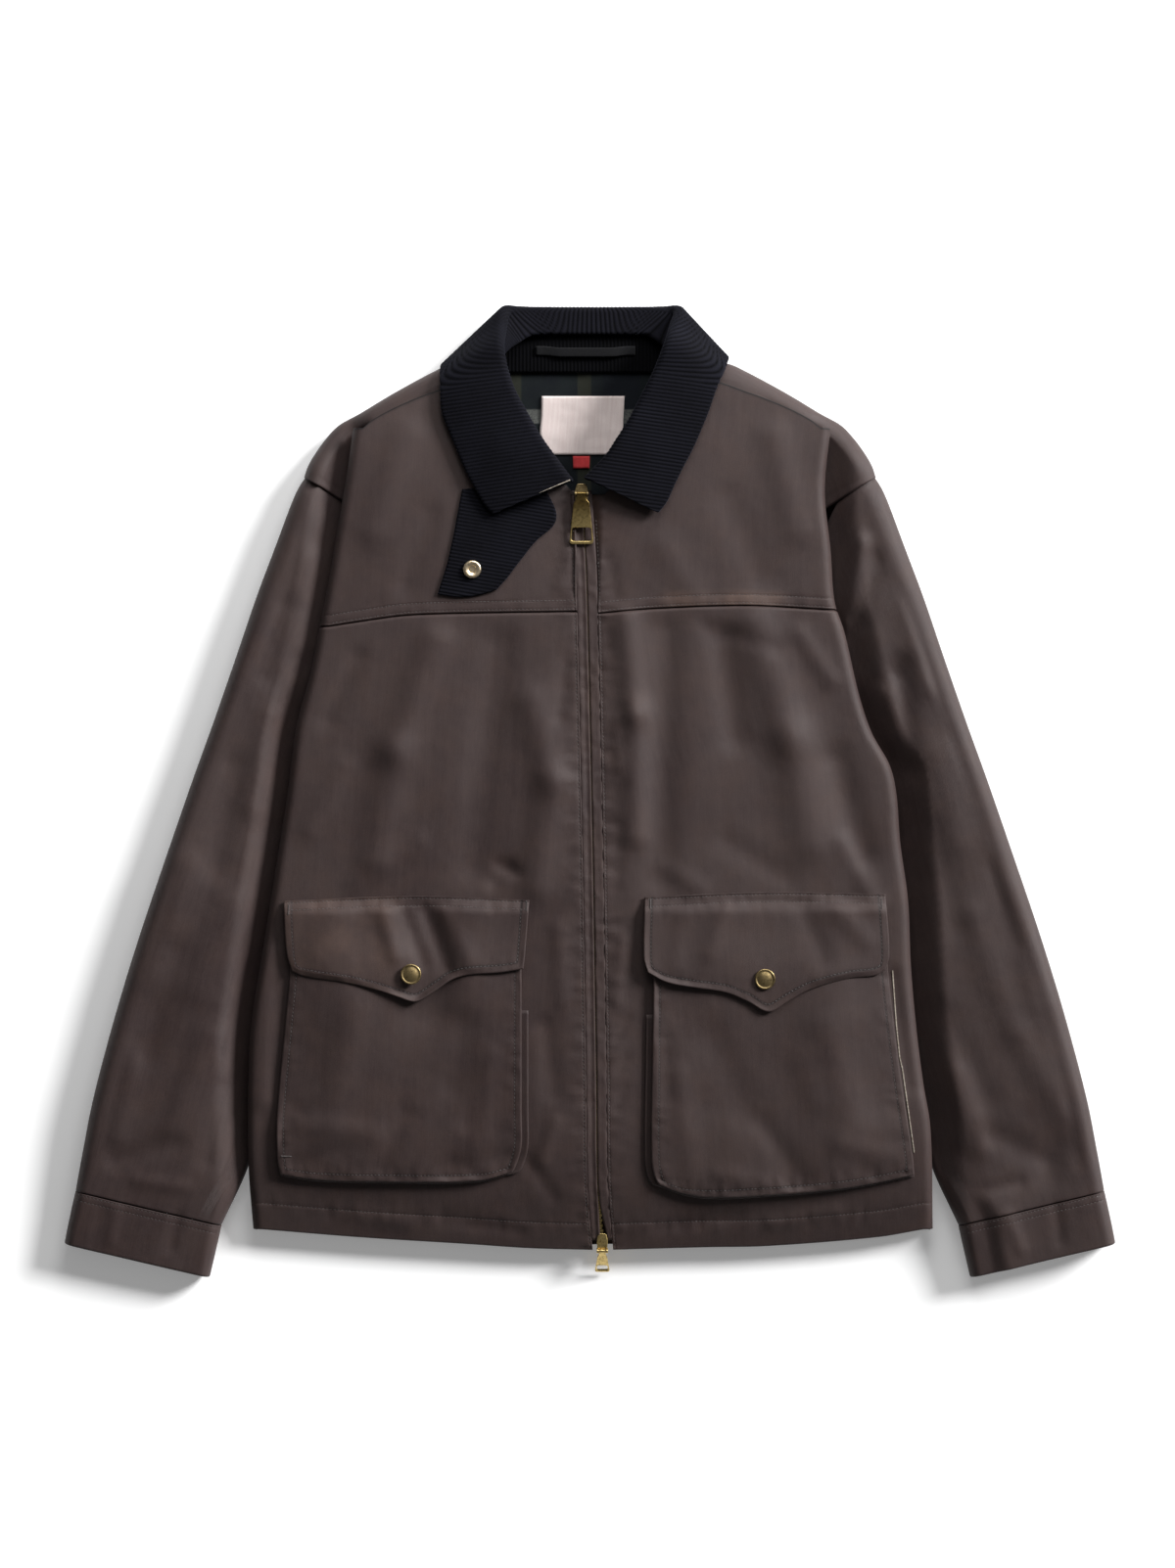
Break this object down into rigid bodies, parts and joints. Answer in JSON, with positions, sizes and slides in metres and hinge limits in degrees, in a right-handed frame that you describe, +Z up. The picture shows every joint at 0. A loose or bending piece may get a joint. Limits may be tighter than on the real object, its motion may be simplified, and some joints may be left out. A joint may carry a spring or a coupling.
{
  "type": "waxed cotton jacket",
  "caption": "Waxed cotton jacket laid flat on its back, zipped, with a corduroy collar, bellows pockets with snap flaps and long sleeves beside the body.",
  "frame": {"origin": "on the surface that the jacket lies on, under the middle of the back and on the centre plane of the body", "axes": "+X to the wearer's left, +Y from the hem to the collar, +Z up from the surface, out of the fronts"},
  "size_m": [0.8608, 0.7954, 0.0466],
  "materials": {
    "waxed_cotton": "waxed cotton, dark brown, half matt with a slight waxy sheen",
    "corduroy": "navy needlecord, matt",
    "lining_cotton": "brushed cotton with a dark check",
    "woven_tape": "woven tape",
    "label_cloth": "pale woven label, bare",
    "tag_cloth": "red woven tag, bare",
    "brass": "worn yellow brass",
    "antique_brass": "antique brass"
  },
  "bodies": {
    "garment": {"back_panel": "waxed_cotton", "front_panel_right": "waxed_cotton", "front_panel_left": "waxed_cotton", "front_yoke_right": "waxed_cotton", "front_yoke_left": "waxed_cotton", "sleeve_right": "waxed_cotton", "sleeve_left": "waxed_cotton", "cuff_right": "waxed_cotton", "cuff_left": "waxed_cotton", "pocket_right": "waxed_cotton", "pocket_left": "waxed_cotton", "gusset_right": "waxed_cotton", "gusset_left": "waxed_cotton", "flap_right": "waxed_cotton", "flap_left": "waxed_cotton", "snap_cap_right": "antique_brass", "snap_cap_left": "antique_brass", "zip_tape_right": "woven_tape", "zip_tape_left": "woven_tape", "zip_chain": "brass", "slider_top": "brass", "slider_bottom": "brass", "collar": "corduroy", "collar_stand": "corduroy", "throat_tab": "corduroy", "tab_snap": "brass", "neck_lining": "lining_cotton", "neck_label": "label_cloth", "size_tag": "tag_cloth", "hanger_loop": "woven_tape"},
    "top_pull": {"pull_top": "brass"},
    "bottom_pull": {"pull_bottom": "brass"}
  },
  "joints": [
    {"name": "top_pull_hinge", "type": "hinge", "parent": "garment", "child": "top_pull", "pos_m": [-0.0069, 0.243, 0.04072], "axis": [-1, 0, 0], "range_deg": [0, 110]},
    {"name": "bottom_pull_hinge", "type": "hinge", "parent": "garment", "child": "bottom_pull", "pos_m": [0.0101, -0.3743, 0.02201], "axis": [-1, 0, 0], "range_deg": [0, 150]}
  ]
}
